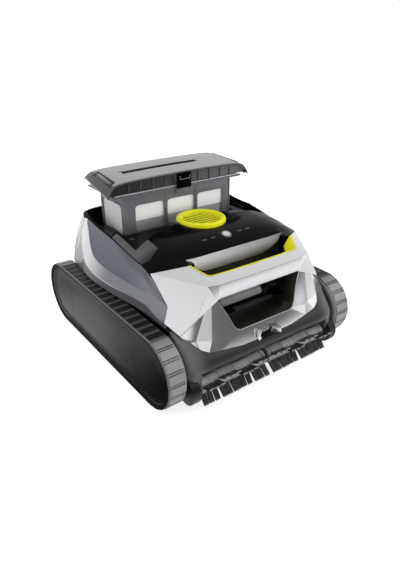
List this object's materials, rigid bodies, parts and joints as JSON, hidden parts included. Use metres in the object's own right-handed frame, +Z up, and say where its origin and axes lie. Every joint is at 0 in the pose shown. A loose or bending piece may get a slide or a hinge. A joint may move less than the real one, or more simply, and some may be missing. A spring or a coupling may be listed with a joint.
{
  "type": "pool cleaner",
  "caption": "Tracked robotic pool cleaner with a rotating front brush, a lift-out filter canister with hinged lid, a top outlet grille and a carrying handle.",
  "frame": {"origin": "on the floor, under the middle of the overall box", "axes": "+Z up, -Y towards the brush and handle, +X to the right seen from behind"},
  "size_m": [0.44, 0.5143, 0.344],
  "materials": {
    "silver_shell": "silver metallic paint on moulded plastic",
    "grey_panel": "blue-grey metallic satin",
    "gloss_black": "high gloss black",
    "lime_plastic": "lime yellow, satin",
    "black_plastic": "satin black, fine grain",
    "track_rubber": "dark grey rubber",
    "wheel_plastic": "dark grey nylon",
    "pin_steel": "stainless steel",
    "motor_casing": "cast aluminium, satin",
    "brush_core_plastic": "dark grey plastic",
    "brush_rubber": "black soft rubber",
    "battery_wrap": "blue shrink wrap",
    "board_green": "green board, coated",
    "button_grey": "light grey satin",
    "light_white": "frosted light guide",
    "frame_grey": "blue-grey translucent plastic",
    "mesh_white": "fine white filter mesh",
    "smoked_lid": "smoked grey",
    "hook_steel": "stainless steel",
    "socket_black": "black"
  },
  "bodies": {
    "chassis": {"front_shell": "silver_shell", "rear_shell": "silver_shell", "left_side_frame": "silver_shell", "right_side_frame": "silver_shell", "left_side_panel": "grey_panel", "right_side_panel": "grey_panel", "top_deck": "gloss_black", "fascia_plate": "gloss_black", "recess_tray": "gloss_black", "button_bezel": "gloss_black", "grip_liner": "lime_plastic", "outlet_grille": "lime_plastic", "lower_hull": "black_plastic", "bottom_cover": "black_plastic", "front_bumper": "black_plastic", "brush_centre_bearing": "black_plastic", "left_gear_case": "black_plastic", "right_gear_case": "black_plastic", "left_track_cover": "black_plastic", "right_track_cover": "black_plastic", "pump_duct": "black_plastic", "canister_well": "black_plastic", "left_track_belt": "track_rubber", "right_track_belt": "track_rubber", "front_left_axle": "pin_steel", "front_right_axle": "pin_steel", "rear_left_axle": "pin_steel", "rear_right_axle": "pin_steel", "housing_screws": "pin_steel", "button_spring": "pin_steel", "left_drive_motor": "motor_casing", "right_drive_motor": "motor_casing", "pump_motor": "motor_casing", "battery_pack": "battery_wrap", "control_board": "board_green", "status_lights": "light_white", "tow_hook": "hook_steel", "charge_socket": "socket_black"},
    "canister": {"canister_frame": "frame_grey", "filter_mesh": "mesh_white", "latch_keeper": "black_plastic", "lid_hinge_pin": "pin_steel"},
    "lid": {"canister_lid": "smoked_lid"},
    "latch": {"lid_latch": "black_plastic"},
    "flap": {"inlet_flap": "frame_grey"},
    "propeller": {"propeller": "black_plastic"},
    "button": {"power_button": "button_grey"},
    "front_left_wheel": {"front_left_wheel": "wheel_plastic"},
    "rear_left_wheel": {"rear_left_wheel": "wheel_plastic"},
    "left_pinion": {"left_drive_pinion": "wheel_plastic"},
    "left_brush": {"left_brush_core": "brush_core_plastic", "left_brush_gear": "wheel_plastic", "left_brush_blades": "brush_rubber"},
    "front_right_wheel": {"front_right_wheel": "wheel_plastic"},
    "rear_right_wheel": {"rear_right_wheel": "wheel_plastic"},
    "right_pinion": {"right_drive_pinion": "wheel_plastic"},
    "right_brush": {"right_brush_core": "brush_core_plastic", "right_brush_gear": "wheel_plastic", "right_brush_blades": "brush_rubber"}
  },
  "joints": [
    {"name": "canister_lift", "type": "slide", "parent": "chassis", "child": "canister", "axis": [0, 0, 1], "range_m": [-0.072, 0.17]},
    {"name": "lid_hinge", "type": "hinge", "parent": "canister", "child": "lid", "pos_m": [0, 0.14782, 0.315], "axis": [-1, 0, 0], "range_deg": [0, 100]},
    {"name": "latch_pivot", "type": "hinge", "parent": "lid", "child": "latch", "pos_m": [0, 0.03592, 0.324], "axis": [-1, 0, 0], "range_deg": [0, 35]},
    {"name": "flap_hinge", "type": "hinge", "parent": "canister", "child": "flap", "pos_m": [0, 0.06482, 0.107], "axis": [1, 0, 0], "range_deg": [0, 45]},
    {"name": "propeller_spin", "type": "hinge", "parent": "chassis", "child": "propeller", "pos_m": [0, -0.02518, 0.215], "axis": [0, 0, 1], "continuous": true},
    {"name": "button_press", "type": "slide", "parent": "chassis", "child": "button", "axis": [0, 0, -1], "range_m": [0, 0.002], "stiffness_N_per_m": 400, "springref_m": -0.001, "deforming": ["button_spring"]},
    {"name": "front_left_wheel_spin", "type": "hinge", "parent": "chassis", "child": "front_left_wheel", "pos_m": [-0.19, -0.16953, 0.068], "axis": [1, 0, 0], "continuous": true},
    {"name": "rear_left_wheel_spin", "type": "hinge", "parent": "chassis", "child": "rear_left_wheel", "pos_m": [-0.19, 0.18917, 0.068], "axis": [1, 0, 0], "continuous": true},
    {"name": "left_pinion_spin", "type": "hinge", "parent": "chassis", "child": "left_pinion", "pos_m": [-0.167, -0.12153, 0.068], "axis": [1, 0, 0], "continuous": true},
    {"name": "left_brush_spin", "type": "hinge", "parent": "chassis", "child": "left_brush", "pos_m": [-0.08, -0.21917, 0.04], "axis": [1, 0, 0], "continuous": true},
    {"name": "front_right_wheel_spin", "type": "hinge", "parent": "chassis", "child": "front_right_wheel", "pos_m": [0.19, -0.16953, 0.068], "axis": [1, 0, 0], "continuous": true},
    {"name": "rear_right_wheel_spin", "type": "hinge", "parent": "chassis", "child": "rear_right_wheel", "pos_m": [0.19, 0.18917, 0.068], "axis": [1, 0, 0], "continuous": true},
    {"name": "right_pinion_spin", "type": "hinge", "parent": "chassis", "child": "right_pinion", "pos_m": [0.167, -0.12153, 0.068], "axis": [1, 0, 0], "continuous": true},
    {"name": "right_brush_spin", "type": "hinge", "parent": "chassis", "child": "right_brush", "pos_m": [0.08, -0.21917, 0.04], "axis": [1, 0, 0], "continuous": true}
  ],
  "couplings": [
    {"joint": "rear_left_wheel_spin", "follows": "front_left_wheel_spin", "ratio": 1},
    {"joint": "left_pinion_spin", "follows": "front_left_wheel_spin", "ratio": -3},
    {"joint": "left_brush_spin", "follows": "front_left_wheel_spin", "ratio": -1.7143},
    {"joint": "rear_right_wheel_spin", "follows": "front_right_wheel_spin", "ratio": 1},
    {"joint": "right_pinion_spin", "follows": "front_right_wheel_spin", "ratio": -3},
    {"joint": "right_brush_spin", "follows": "front_right_wheel_spin", "ratio": -1.7143}
  ]
}
